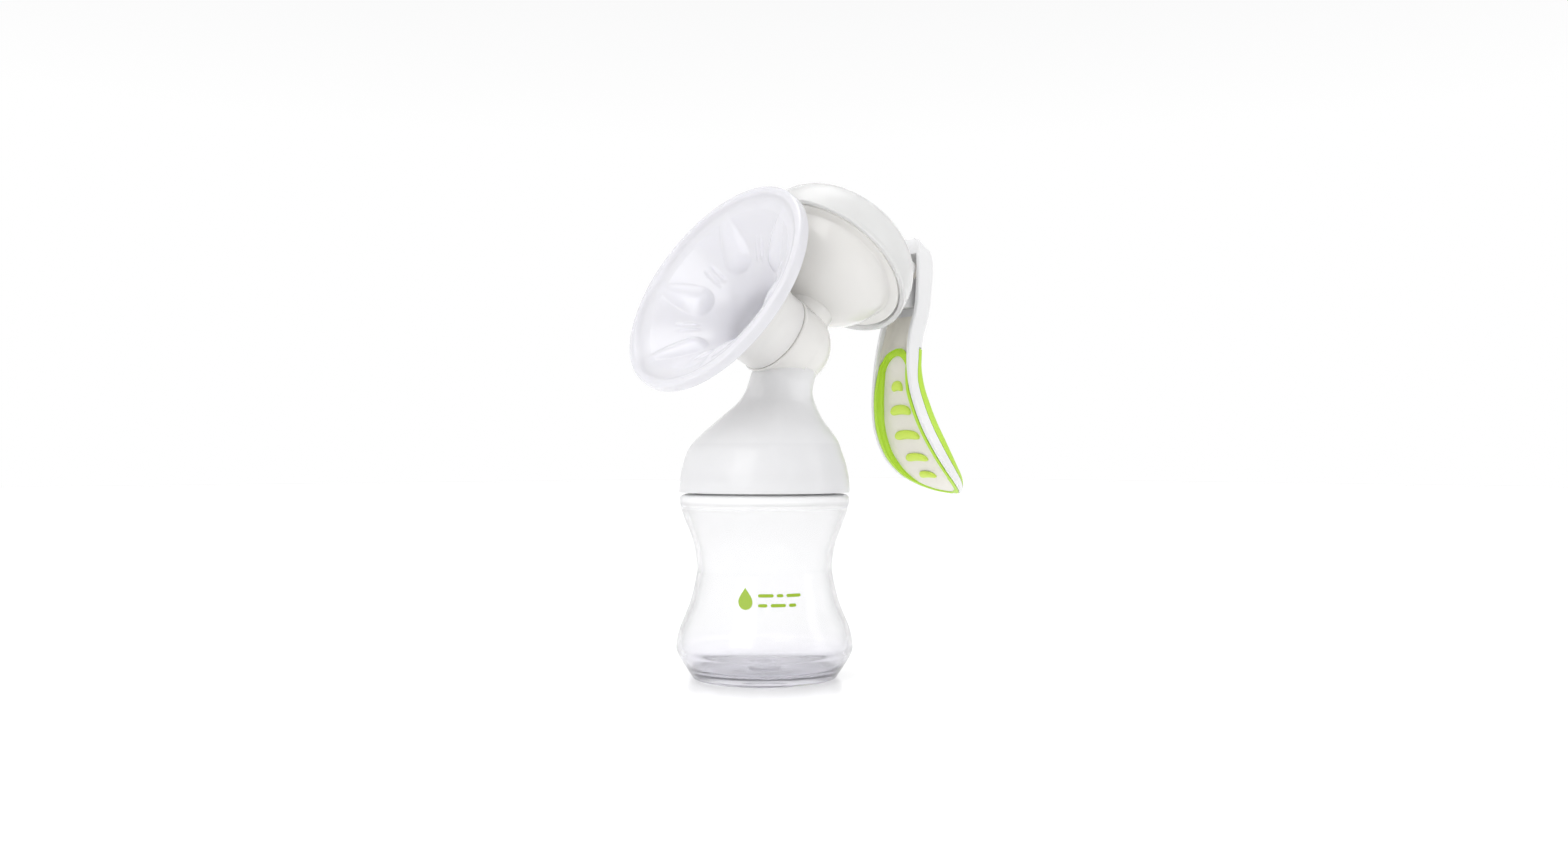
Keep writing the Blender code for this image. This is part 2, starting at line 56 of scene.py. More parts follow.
SHARP = radians(36)

# Bottle
BOTTLE_WALL = 1.7
BOTTLE_SIDE = [(26.2, 0.0), (28.3, 3.2), (31.3, 8.0), (32.0, 11.6), (30.8, 17.4), (27.1, 26.6),
               (24.9, 36.0), (24.6, 40.4), (25.9, 48.2), (29.3, 57.4), (30.6, 61.6), (30.9, 63.4)]
NECK_R, NECK_BORE, NECK_TOP = 25.5, 23.6, 80.6
THREAD_LEAD, THREAD_TURNS, THREAD_Z, THREAD_HALF = 4.5, 1.25, 71.5, 0.85

# Pump body
BELL = [(0.0, 66.4, 31.1), (0.0, 70.0, 30.9), (0.0, 75.8, 29.9), (0.0, 81.2, 28.1),
        (0.8, 84.9, 26.2), (1.9, 89.2, 22.6), (3.1, 93.5, 18.6), (5.3, 98.3, 14.8),
        (6.5, 102.0, 12.8), (7.8, 106.0, 12.1), (9.4, 110.2, 12.1), (10.6, 114.0, 11.2)]
SKIRT_HOLLOW = [(0.0, 64.0, 29.2), (0.0, 70.0, 28.9), (0.0, 75.8, 27.9), (0.0, 80.2, 26.5), (0.0, 82.6, 26.0)]
DOME_HOLLOW = [(0.0, 81.0, 23.4), (0.6, 84.4, 23.4), (1.9, 88.8, 20.2), (3.1, 93.0, 16.2), (4.4, 96.4, 13.0)]
NOZZLE_X = 6.0
BULB, BULB_R = (12.4, 0.0, 120.8), 15.2
BOWL, BOWL_AXIS, BOWL_R, WALL = (34.8, 0.0, 155.7), (0.6756, 0.0, 0.7373), 26.8, 1.8
LINK_R = (6.5, 9.8)
COVER_R, COVER_H, COVER_LOW, COVER_POWER, COVER_WALL = 32.97, 22.27, -5.5, 2.83, 1.8

# Funnel
MOUTH, MOUTH_AXIS = (-24.3, 0.0, 140.0), (-0.880, 0.0, 0.475)
CONE = [(40.7, -2.7), (35.4, -6.8), (27.6, -12.6), (20.8, -18.0), (16.9, -22.6), (15.4, -27.0)]
SHIELD_WALL, CUSHION_THICK, LIP_R = 2.0, 2.4, 42.2
PETALS = 6
PETAL_TURN = radians(24)  # where the first petal lies round the funnel
PETAL_RISE = 1.9
RIDGE_ASIDE, RIDGE_HALF, RIDGE_RISE = 1.3, 0.85, 0.6  # twin ridges between the petals
RIDGE_INNER, RIDGE_OUTER = 18.5, 26.5
PETAL_PEAK, PETAL_INNER, PETAL_OUTER, PETAL_HALF = 22.5, 5.0, 13.0, 6.2  # radii, lengths and half-width

# Lever: pivot, then the channel along its open edge as (X, Z, half-width, depth)
PIVOT = (56.9, 0.0, 143.6)
LEVER = [(77.4, 168.2, 3.6, 2.4), (75.2, 167.0, 6.6, 6.0), (73.6, 163.4, 8.4, 9.0), (72.8, 156.0, 9.2, 10.2),
         (72.4, 148.0, 9.2, 9.9), (71.6, 139.0, 9.0, 9.5), (68.2, 129.0, 9.0, 9.3), (66.2, 118.0, 9.8, 9.2),
         (66.1, 108.0, 11.0, 9.4), (67.6, 98.5, 12.9, 9.6), (71.0, 89.2, 14.7, 9.2), (77.2, 79.8, 15.8, 8.4),
         (85.0, 72.6, 14.9, 7.2), (92.6, 68.2, 12.2, 5.9), (99.0, 65.6, 8.4, 4.6), (103.8, 64.4, 4.2, 3.2),
         (106.0, 64.1, 1.6, 1.8)]
LEVER_WALL, LEVER_FLOOR, LEVER_CORNER, PAD, PAD_REACH = 1.6, 3.0, 3.4, 1.3, 3.4
PIN_R, PIN_HOLE_R = 1.8, 2.1
PANEL = 2.4  # how much thicker the lever's back is behind the grip
BAR_HALF, BAR_RISE = 2.0, 1.3
BARS = [(0.505, 2.8), (0.573, 5.4), (0.643, 6.6), (0.705, 5.8), (0.765, 4.2)]


# ---------------------------------------------------------------- shapes

def along(point, axis):
    """Matrix of a frame at point whose +Z runs along axis and whose Y is the pump's Y."""
    z = Vector(axis).normalized()
    y = Vector((0.0, 1.0, 0.0))
    turn = Matrix((y.cross(z), y, z)).transposed().to_4x4()
    return Matrix.Translation(Vector(point) * MM) @ turn


BOWL_PLACE = along(BOWL, BOWL_AXIS)
FUNNEL_PLACE = along(MOUTH, MOUTH_AXIS)
PIVOT_PLACE = Matrix.Translation(Vector(PIVOT) * MM) @ Matrix.Rotation(pi / 2, 4, "X")


def smooth(points, parts):
    """Smooth curve through all the points, with each span in so many parts."""
    rows = [Vector(p) for p in points]
    ends = [rows[0] * 2 - rows[1], *rows, rows[-1] * 2 - rows[-2]]
    curve = []
    for a, b, c, d in zip(ends, ends[1:], ends[2:], ends[3:]):
        for step in range(parts):
            t = step / parts
            curve.append(0.5 * (2 * b + (c - a) * t + (2 * a - 5 * b + 4 * c - d) * t**2
                                + (3 * b - a - 3 * c + d) * t**3))
    return [*curve, rows[-1]]


def inset(points, distance):
    """The same open curve moved sideways, to the left of its direction."""
    moved = []
    for index, point in enumerate(points):
        run = Vector(points[min(index + 1, len(points) - 1)]) - Vector(points[max(index - 1, 0)])
        run.normalize()
        moved.append(Vector(point) + distance * Vector((-run.y, run.x)))
    return moved


def rounded(corners, parts=4):
    """Polyline through (a, b, radius) corners, with an arc-like curve of that radius at each one."""
    line = []
    count = len(corners)
    for index, corner in enumerate(corners):
        here = Vector(corner[:2])
        radius = corner[2] if len(corner) > 2 else 0.0
        if radius <= 0.0 or index in (0, count - 1):
            line.append(here)
            continue
        before, after = Vector(corners[index - 1][:2]) - here, Vector(corners[index + 1][:2]) - here
        reach = min(radius, before.length * 0.48, after.length * 0.48)
        start, end = here + before.normalized() * reach, here + after.normalized() * reach
        for step in range(parts + 1):
            t = step / parts
            line.append((1 - t) ** 2 * start + 2 * t * (1 - t) * here + t * t * end)
    return line


def finish_mesh(name, bm, material, place=Matrix(), weld=2e-3):
    bmesh.ops.remove_doubles(bm, verts=bm.verts, dist=weld)
    bmesh.ops.recalc_face_normals(bm, faces=bm.faces)
    bmesh.ops.scale(bm, vec=(MM, MM, MM), verts=bm.verts)
    bm.transform(place)
    mesh = bpy.data.meshes.new(name)
    bm.to_mesh(mesh)
    bm.free()
    mesh.shade_smooth()
    mesh.set_sharp_from_angle(angle=SHARP)
    mesh.materials.append(material)
    made = bpy.data.objects.new(name, mesh)
    bpy.context.collection.objects.link(made)
    return made


def surface(name, rings, material, place=Matrix(), loop=False, caps=True):
    """Skin over closed rings of one count. loop joins the last ring to the first."""
    bm = bmesh.new()
    rows = [[bm.verts.new(p) for p in ring] for ring in rings]
    pairs = list(zip(rows, rows[1:]))
    if loop:
        pairs.append((rows[-1], rows[0]))
    for low, high in pairs:
        for a, b, c, d in zip(low, low[1:] + low[:1], high[1:] + high[:1], high):
            bm.faces.new((a, b, c, d))
    if caps and not loop:
        bm.faces.new(rows[0][::-1])
        bm.faces.new(rows[-1])
    return finish_mesh(name, bm, material, place)


def turned(name, profile, material, place=Matrix(), steps=STEPS, push=None):
    """Solid of revolution from (radius, height) points. push(index, turn) moves a point along the axis."""
    bm = bmesh.new()
    on_axis = profile[0][0] < 1e-6 and profile[-1][0] < 1e-6
    columns = []
    for k in range(steps):
        turn = tau * k / steps
        column = []
        for index, point in enumerate(profile):
            out, up = push(index, turn) if push else (0.0, 0.0)
            radius = point[0] + out
            column.append(bm.verts.new((radius * cos(turn), radius * sin(turn), point[1] + up)))
        columns.append(column)
    count = len(profile)
    for here, there in zip(columns, columns[1:] + columns[:1]):
        for i in range(count - 1 if on_axis else count):
            j = (i + 1) % count
            bm.faces.new((here[i], there[i], there[j], here[j]))
    if on_axis:
        bmesh.ops.remove_doubles(bm, verts=bm.verts, dist=1e-4)
        bmesh.ops.dissolve_degenerate(bm, dist=1e-5, edges=bm.edges)
    return finish_mesh(name, bm, material, place)


def circle(x, z, rx, ry=None, steps=STEPS):
    ry = rx if ry is None else ry
    return [(x + rx * cos(tau * k / steps), ry * sin(tau * k / steps), z) for k in range(steps)]


def plate(name, outline, low, high, material, place=Matrix(), soften=0.6):
    """Prism across Y from an outline of (x, z, radius) corners, with softened long edges."""
    line = rounded([*outline, outline[0]], 5)[:-1]
    middle = sum((Vector(p) for p in line), Vector((0.0, 0.0))) / len(line)
    rings = []
    for y, shrink in ((low, soften), (low + soften * 0.3, soften * 0.3), (low + soften, 0.0),
                      (high - soften, 0.0), (high - soften * 0.3, soften * 0.3), (high, soften)):
        rings.append([(p.x + (middle.x - p.x) * shrink / max((middle - p).length, 4.0), y,
                       p.y + (middle.y - p.y) * shrink / max((middle - p).length, 4.0)) for p in line])
    return surface(name, rings, material, place)


def rod(name, radius, low, high, material, place=Matrix(), steps=48, edge=0.3):
    return turned(name, [(0.0, low), (radius - edge, low), (radius, low + edge), (radius, high - edge),
                         (radius - edge, high), (0.0, high)], material, place, steps)


def combine(target, tools, operation):
    """Apply a Boolean with each tool in turn and remove the tools."""
    bpy.context.view_layer.update()
    for tool in tools:
        change = target.modifiers.new(tool.name, "BOOLEAN")
        change.operation = operation
        change.solver = "EXACT"
        change.material_mode = "TRANSFER"
        change.object = tool
    bake(target)
    for tool in tools:
        bpy.data.objects.remove(tool)


def bake(target):
    """Apply every modifier of a piece to its mesh."""
    bpy.context.view_layer.update()
    seen = target.evaluated_get(bpy.context.evaluated_depsgraph_get())
    mesh = bpy.data.meshes.new_from_object(seen)
    target.modifiers.clear()
    target.data = mesh
    mesh.shade_smooth()
    mesh.set_sharp_from_angle(angle=SHARP)


def soften(target, width, parts=2, angle=35):
    change = target.modifiers.new("soften", "BEVEL")
    change.width = width * MM
    change.segments = parts
    change.limit_method = "ANGLE"
    change.angle_limit = radians(angle)
    change.use_clamp_overlap = True
    bake(target)


# ---------------------------------------------------------------- materials

def nodes_of(material):
    return material.node_tree.nodes, material.node_tree.links


def shader_of(material):
    return material.node_tree.nodes["Principled BSDF"]


def plastic(name, colour, rough, clear=0.0, ior=1.45, coat=0.0, under=0.0, grain=900.0, depth=0.04,
            spread=0.04):
    """Moulded plastic or rubber: cloudy colour, roughness and fine surface grain from noise."""
    made = bpy.data.materials.new(name)
    made.use_nodes = True
    nodes, links = nodes_of(made)
    shader = shader_of(made)
    shader.inputs["Transmission Weight"].default_value = clear
    shader.inputs["IOR"].default_value = ior
    shader.inputs["Coat Weight"].default_value = coat
    shader.inputs["Coat Roughness"].default_value = 0.12
    shader.inputs["Subsurface Weight"].default_value = under
    shader.inputs["Subsurface Radius"].default_value = (0.006, 0.006, 0.007)
    shader.inputs["Subsurface Scale"].default_value = 1.0
    place = nodes.new("ShaderNodeTexCoord")
    cloud = nodes.new("ShaderNodeTexNoise")
    cloud.inputs["Scale"].default_value = 38.0
    cloud.inputs["Detail"].default_value = 3.0
    links.new(place.outputs["Object"], cloud.inputs["Vector"])
    shade = nodes.new("ShaderNodeValToRGB")
    low, high = shade.color_ramp.elements
    low.position, high.position = 0.3, 0.7
    other = tuple(max(c - spread, 0.0) for c in colour)
    low.color, high.color = (*other, 1.0), (*colour, 1.0)
    links.new(cloud.outputs["Fac"], shade.inputs["Fac"])
    links.new(shade.outputs["Color"], shader.inputs["Base Color"])
    vary = nodes.new("ShaderNodeMapRange")
    vary.inputs["To Min"].default_value = rough * 0.85
    vary.inputs["To Max"].default_value = min(rough * 1.2, 1.0)
    links.new(cloud.outputs["Fac"], vary.inputs["Value"])
    links.new(vary.outputs["Result"], shader.inputs["Roughness"])
    fine = nodes.new("ShaderNodeTexNoise")
    fine.inputs["Scale"].default_value = grain
    fine.inputs["Detail"].default_value = 2.0
    links.new(place.outputs["Object"], fine.inputs["Vector"])
    bump = nodes.new("ShaderNodeBump")
    bump.inputs["Strength"].default_value = depth
    bump.inputs["Distance"].default_value = 0.0004
    links.new(fine.outputs["Fac"], bump.inputs["Height"])
    links.new(bump.outputs["Normal"], shader.inputs["Normal"])
    return made


def shade_by_height(material, low, high, colour):
    """Blend the base colour towards another one from height high down to low, in metres."""
    nodes, links = nodes_of(material)
    shader = shader_of(material)
    old = shader.inputs["Base Color"].links[0].from_socket
    place = nodes.new("ShaderNodeTexCoord")
    split = nodes.new("ShaderNodeSeparateXYZ")
    links.new(place.outputs["Object"], split.inputs["Vector"])
    span = nodes.new("ShaderNodeMapRange")
    span.inputs["From Min"].default_value = low
    span.inputs["From Max"].default_value = high
    span.inputs["To Min"].default_value = 1.0
    span.inputs["To Max"].default_value = 0.0
    links.new(split.outputs["Z"], span.inputs["Value"])
    mix = nodes.new("ShaderNodeMix")
    mix.data_type = "RGBA"
    links.new(span.outputs["Result"], mix.inputs["Factor"])
    links.new(old, mix.inputs["A"])
    mix.inputs["B"].default_value = (*colour, 1.0)
    links.new(mix.outputs["Result"], shader.inputs["Base Color"])


def milky_and_shaded_edges(material, middle, rim, low, high):
    """Cloudy where the wall is seen edge on, with painted grey shade there, and cloudy above the height low
    to high, in metres.
    """
    nodes, links = nodes_of(material)
    shader = shader_of(material)
    facing = nodes.new("ShaderNodeLayerWeight")
    facing.inputs["Blend"].default_value = 0.35
    across = nodes.new("ShaderNodeMapRange")
    across.inputs["From Min"].default_value = 0.45
    across.inputs["To Min"].default_value = middle
    across.inputs["To Max"].default_value = rim
    links.new(facing.outputs["Facing"], across.inputs["Value"])
    place = nodes.new("ShaderNodeTexCoord")
    split = nodes.new("ShaderNodeSeparateXYZ")
    links.new(place.outputs["Object"], split.inputs["Vector"])
    up = nodes.new("ShaderNodeMapRange")
    up.inputs["From Min"].default_value = low
    up.inputs["From Max"].default_value = high
    up.inputs["To Min"].default_value = 1.0
    up.inputs["To Max"].default_value = 0.25
    links.new(split.outputs["Z"], up.inputs["Value"])
    both = nodes.new("ShaderNodeMath")
    both.operation = "MULTIPLY"
    links.new(across.outputs["Result"], both.inputs[0])
    links.new(up.outputs["Result"], both.inputs[1])
    links.new(both.outputs["Value"], shader.inputs["Transmission Weight"])
    # Painted shade: the base colour turns grey where the wall is seen edge on.
    old = shader.inputs["Base Color"].links[0].from_socket
    edge_shade = nodes.new("ShaderNodeMapRange")
    edge_shade.inputs["From Min"].default_value = 0.40
    edge_shade.inputs["To Max"].default_value = 1.0
    links.new(facing.outputs["Facing"], edge_shade.inputs["Value"])
    mix = nodes.new("ShaderNodeMix")
    mix.data_type = "RGBA"
    mix.inputs["B"].default_value = (0.58, 0.58, 0.60, 1.0)
    links.new(edge_shade.outputs["Result"], mix.inputs["Factor"])
    links.new(old, mix.inputs["A"])
    links.new(mix.outputs["Result"], shader.inputs["Base Color"])


CLEAR = plastic("bottle_clear", (0.98, 0.98, 0.985), 0.12, clear=0.88, ior=1.33, depth=0.0, spread=0.01)
shade_by_height(CLEAR, 0.0, 0.016, (0.92, 0.91, 0.97))
milky_and_shaded_edges(CLEAR, 0.90, 0.60, 0.0600, 0.0635)
FROSTED = plastic("body_frosted", (0.94, 0.94, 0.95), 0.30, clear=0.32, ior=1.30, coat=0.3, depth=0.05,
                  spread=0.015)
# Painted shade: the frosted skirt is darker below its step line at 84 mm.
shade_by_height(FROSTED, 0.0836, 0.0842, (0.90, 0.90, 0.91))
BOWL_CLEAR = plastic("bowl_clear", (0.965, 0.953, 0.93), 0.14, clear=0.32, ior=1.33, coat=0.35, depth=0.02,
                     spread=0.02)
SHIELD_MILKY = plastic("shield_milky", (0.96, 0.95, 0.935), 0.32, clear=0.30, ior=1.30, depth=0.04,
                       spread=0.02)
COVER_CLEAR = plastic("cover_clear", (0.975, 0.975, 0.97), 0.18, clear=0.52, ior=1.33, depth=0.02,
                      spread=0.02)
SILICONE = plastic("silicone_lavender", (0.86, 0.855, 0.905), 0.24, clear=0.25, ior=1.40, coat=0.3,
                   depth=0.02, under=0.25, spread=0.02)
SOFT_CLEAR = plastic("silicone_clear", (0.96, 0.96, 0.97), 0.34, clear=0.60, ior=1.36, depth=0.05,
                     spread=0.02)
WHITE = plastic("white_plastic", (0.78, 0.78, 0.785), 0.26, coat=0.25, depth=0.02, spread=0.015)
# Painted shade: beige colour for the shaded floor of the lever's channel.
PAINTED_FLOOR_SHADE = plastic("channel_painted_shade", (0.80, 0.775, 0.71), 0.42, depth=0.08, spread=0.05)
PAD_GREEN = plastic("pad_green", (0.49, 0.74, 0.08), 0.42, depth=0.12, spread=0.05, grain=1600.0)
GREEN = plastic("green_rubber", (0.47, 0.74, 0.06), 0.42, depth=0.12, spread=0.05, grain=1600.0)
LIME = plastic("lime_rubber", (0.62, 0.80, 0.12), 0.40, depth=0.12, spread=0.05, grain=1600.0)
INK = plastic("print_ink", (0.30, 0.45, 0.03), 0.35, depth=0.0, spread=0.02)


def place_piece(piece, body, slot, *nodes):
    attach(piece, body)
    if nodes:
        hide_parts(*nodes)
    return piece


# ---------------------------------------------------------------- bottle

def thread(name, root, crest, start, material):
    """Helical thread ridge whose ends fade into the wall at its root."""
    steps = int(THREAD_TURNS * 96)
    back = root + (0.35 if crest < root else -0.35)
    rings = []
    for k in range(steps + 1):
        turn = tau * THREAD_TURNS * k / steps
        height = start + THREAD_LEAD * turn / tau
        share = min(1.0, 0.1 + k / 10, 0.1 + (steps - k) / 10)
        top = root + (crest - root) * share
        around = Vector((cos(turn), sin(turn), 0.0))
        flank = root + (top - root) * 0.8
        section = ((back, -THREAD_HALF), (root, -THREAD_HALF), (flank, -THREAD_HALF * 0.5),
                   (top, -THREAD_HALF * 0.25), (top, THREAD_HALF * 0.25), (flank, THREAD_HALF * 0.5),
                   (root, THREAD_HALF), (back, THREAD_HALF))
        rings.append([around * r + Vector((0.0, 0.0, height + dz)) for r, dz in section])
    return surface(name, rings, material)


def build_bottle():
    side = smooth(BOTTLE_SIDE, 7)
    inside = inset(smooth(BOTTLE_SIDE[2:-1], 7), BOTTLE_WALL)
    base = rounded([(0.0, 0.0), (8.8, 0.0, 0.4), (9.6, 0.9, 0.5), (22.6, 1.0, 0.6), (23.6, 0.1, 0.5),
                    (26.2, 0.0)])[:-1]
    bead = rounded([(30.9, 63.4), (30.8, 65.0, 0.9), (29.3, 65.8, 0.9), (NECK_R, 66.0, 0.5),
                    (NECK_R, NECK_TOP, 0.5), (NECK_BORE, NECK_TOP, 0.5), (NECK_BORE, 64.5, 1.6),
                    (27.6, 64.1, 1.6), (28.9, 62.6, 1.0), (28.7, 61.4)])[1:-1]
    floor = rounded([tuple(inside[0]), (26.2, 3.6, 2.0), (21.0, 2.8, 1.2), (6.0, 2.75, 0.3), (5.4, 3.3, 0.3),
                     (4.6, 3.3, 0.3), (4.0, 2.7, 0.3), (0.0, 2.7)])[1:]
    profile = [*base, *side, *bead, *reversed(inside), *floor]
    made = turned("bottle_shell", profile, CLEAR)
    combine(made, [thread("bottle_thread", NECK_R, 26.9, THREAD_Z, CLEAR)], "UNION")
    place_piece(made, "bottle", "clear_bottle", "bottle")
    return side


def side_radius(side, height):
    for low, high in zip(side, side[1:]):
        if low.y <= height <= high.y:
            t = (height - low.y) / max(high.y - low.y, 1e-6)
            return low.x + (high.x - low.x) * t
    return side[-1].x


def decal(name, outline_at, low, high, turn, side, material, rows=14, thick=0.10, lift=0.06):
    """Thin print on the bottle: outline_at(share) gives the left and right end at a share of its height."""
    rings = []
    columns = 9
    for k in range(rows + 1):
        share = k / rows
        height = low + (high - low) * share
        left, right = outline_at(share)
        radius = side_radius(side, height)
        ring = []
        for skin in (lift, lift + thick):
            spots = [left + (right - left) * j / columns for j in range(columns + 1)]
            for spot in spots if skin == lift else spots[::-1]:
                angle = turn + spot / radius
                ring.append(((radius + skin) * cos(angle), (radius + skin) * sin(angle), height))
        rings.append(ring)
    return surface(name, rings, material)


def build_print(side):
    """A plain milk drop and two rows of dashes, in place of any mark."""
    turn, middle = radians(-125), 30.0

    def drop(share):
        """Round below its widest height and drawn out to a point above it."""
        if share < 0.34:
            width = 2.5 * (1 - ((share - 0.34) / 0.34) ** 2) ** 0.5
        else:
            width = 2.5 * cos(pi / 2 * (share - 0.34) / 0.66) ** 1.3
        return -9.0 - max(width, 0.06), -9.0 + max(width, 0.06)
    pieces = [decal("print_drop", drop, middle - 3.4, middle + 4.2, turn, side, INK, rows=24)]
    dashes = [(-4.6, 0.8, 1.4), (1.9, 4.2, 1.4), (5.3, 10.6, 1.4),
              (-4.6, -1.4, -1.9), (-0.3, 5.0, -1.9), (6.1, 8.8, -1.9)]  # left, right, height
    for index, (left, right, height) in enumerate(dashes, 1):
        def bar(share, left=left, right=right):
            trim = 0.55 * (1 - (1 - (2 * share - 1) ** 2) ** 0.5)
            return left + trim, right - trim
        low, high = middle + height - 0.55, middle + height + 0.55
        pieces.append(decal(f"print_dash_{index}", bar, low, high, turn, side, INK, rows=8))
    for piece in pieces:
        place_piece(piece, "bottle", "lime_rubber")


def build_seal():
    profile = rounded([(24.1, 80.9, 0.0), (25.6, 80.9, 0.3), (25.6, 82.3, 0.3), (24.1, 82.3, 0.3),
                       (24.1, 80.9)], 4)[:-1]
    place_piece(turned("seal_ring_soft", profile, SOFT_CLEAR), "seal", "silicone", "bottle_seal_ring")


# ---------------------------------------------------------------- pump body

def bell(name, stations, material, parts=5):
    rows = smooth([(x, z, r) for x, z, r in stations], parts)
    return surface(name, [circle(row[0], row[1], row[2]) for row in rows], material)


def ball(name, radius, material, place, parts=36):
    arc = [(radius * sin(pi * k / parts), -radius * cos(pi * k / parts)) for k in range(1, parts)]
    return turned(name, [(0.0, -radius), *arc, (0.0, radius)], material, place, 96)


def build_body():
    link = along(BULB, Vector(BOWL) - Vector(BULB))
    body = bell("body_shell", BELL, FROSTED)
    arc = [(BOWL_R * sin(pi * k / 60), -BOWL_R * cos(pi * k / 60)) for k in range(1, 26)]
    cup = [Vector(p) for p in ((0.0, -BOWL_R), *arc)]
    cup += rounded([tuple(cup[-1]), (26.6, -5.2, 0.6), (30.4, -5.2, 0.5), (30.4, -3.4, 0.5),
                    (26.8, -3.4, 0.5), (26.8, 0.0, 0.4), (0.0, 0.0)], 4)[1:]
    bulb_s = (Vector(BULB) - Vector(MOUTH)).dot(Vector(MOUTH_AXIS).normalized())
    socket = [(0.0, bulb_s - 1.5), (15.6, bulb_s - 1.5), (15.6, -34.2), (15.8, -33.9), (15.8, -32.9),
              (15.5, -32.5), (0.0, -32.5)]
    combine(body, [
        ball("body_bulb", BULB_R, BOWL_CLEAR, along(BULB, MOUTH_AXIS)),
        turned("body_socket", socket, BOWL_CLEAR, FUNNEL_PLACE, 96),
        rod("body_link", LINK_R[1], 8.0, 30.0, BOWL_CLEAR, link, 72),
        turned("body_bowl", cup, BOWL_CLEAR, BOWL_PLACE, 96)], "UNION")
    combine(body, [bell("skirt_hollow", SKIRT_HOLLOW, FROSTED), bell("dome_hollow", DOME_HOLLOW, FROSTED)],
            "DIFFERENCE")
    upright = Matrix.Translation((NOZZLE_X * MM, 0.0, 0.0))
    combine(body, [rod("body_nozzle", 6.0, 87.0, 98.0, FROSTED, upright),
                   thread("body_thread", 29.2, 26.2, THREAD_Z - THREAD_LEAD / 2, FROSTED)], "UNION")
    inner = BOWL_R - WALL
    hollow = [(inner * sin(pi * k / 60), -inner * cos(pi * k / 60)) for k in range(1, 30)]
    air = ball("air_bulb", BULB_R - 1.9, BOWL_CLEAR, along(BULB, MOUTH_AXIS), 34)
    combine(air, [
        rod("air_socket", 14.1, -38.6, -24.2, BOWL_CLEAR, FUNNEL_PLACE, 100),
        rod("air_way", 4.0, 80.0, 114.0, FROSTED, upright, 52),
        rod("air_link", LINK_R[0], 6.0, 22.0, BOWL_CLEAR, link, 64),
        turned("air_bowl", [(0.0, -inner), *hollow, (inner, 3.0), (0.0, 3.0)], BOWL_CLEAR, BOWL_PLACE, 104)],
        "UNION")
    combine(body, [air], "DIFFERENCE")
    place_piece(body, "head", "frosted_body", "pump_body")


def build_valve():
    place = Matrix.Translation((NOZZLE_X * MM, 0.0, 0.0))

    def skin(rows):
        """Rings of the valve, from (height, half-width along X, half-width along Y) rows."""
        curve = smooth(rows, 8)
        return [circle(0.0, row[0], row[1], max(row[2], 0.25), 64) for row in curve]
    outer = skin([(95.6, 7.6, 7.6), (91.0, 7.6, 7.6), (86.0, 7.6, 7.6),
                  (80.0, 7.0, 4.6), (75.0, 7.1, 2.7), (71.0, 7.4, 1.4)])
    inner = skin([(95.6, 6.3, 6.3), (91.0, 6.3, 6.3), (86.4, 6.3, 6.3),
                  (80.0, 5.8, 3.4), (75.0, 5.9, 1.6), (71.0, 6.0, 0.3)])
    valve = surface("valve_lips", [*outer, *reversed(inner)], SOFT_CLEAR, place, loop=True)
    place_piece(valve, "head", "silicone", "duckbill_valve")


# ---------------------------------------------------------------- funnel

def build_shield():
    outer = smooth(CONE, 8)
    inner = inset(outer, -SHIELD_WALL)
    rim = rounded([tuple(outer[-1]), (15.4, -32.2, 0.5), (13.4, -32.2, 0.3), (13.4, -34.4, 0.1),
                   (12.55, -34.4, 0.1), (12.55, -36.0, 0.1), (13.4, -36.0, 0.1), (13.4, -37.4, 0.4),
                   (11.8, -37.4, 0.4), (11.8, -28.6, 1.5), tuple(inner[-1])], 4)[1:-1]
    edge = rounded([tuple(inner[0]), (40.0, -1.6, 0.3), (40.7, -1.8, 0.4), tuple(outer[0])], 3)[1:-1]
    profile = [*outer, *rim, *reversed(inner), *edge]
    shield = turned("shield_shell", profile, SHIELD_MILKY, FUNNEL_PLACE)
    place_piece(shield, "head", "frosted_body", "breast_shield")


def petal_height(radius, turn):
    """Rise of the cushion's petals and of the small twin ridges between them."""
    rise = 0.0
    for k in range(PETALS):
        lean = (turn - PETAL_TURN - tau * k / PETALS + pi) % tau - pi
        length = PETAL_INNER if radius < PETAL_PEAK else PETAL_OUTER
        far = (radius - PETAL_PEAK) / length
        across = lean * radius / (PETAL_HALF * (1.0 - 0.25 * max(far, 0.0)))
        inside = 1.0 - far**2 - across**2
        if inside > 0.0:
            rise = max(rise, PETAL_RISE * inside**1.05)
        lean = (turn - PETAL_TURN - tau * (k + 0.5) / PETALS + pi) % tau - pi
        for offset in (-RIDGE_ASIDE, RIDGE_ASIDE):
            aside = (lean * radius - offset) / RIDGE_HALF
            if abs(aside) < 1.0 and RIDGE_INNER < radius < RIDGE_OUTER:
                fade = min((radius - RIDGE_INNER) / 2.0, (RIDGE_OUTER - radius) / 2.0, 1.0)
                rise = max(rise, RIDGE_RISE * fade * (1 - aside**2) ** 1.5)
    return rise


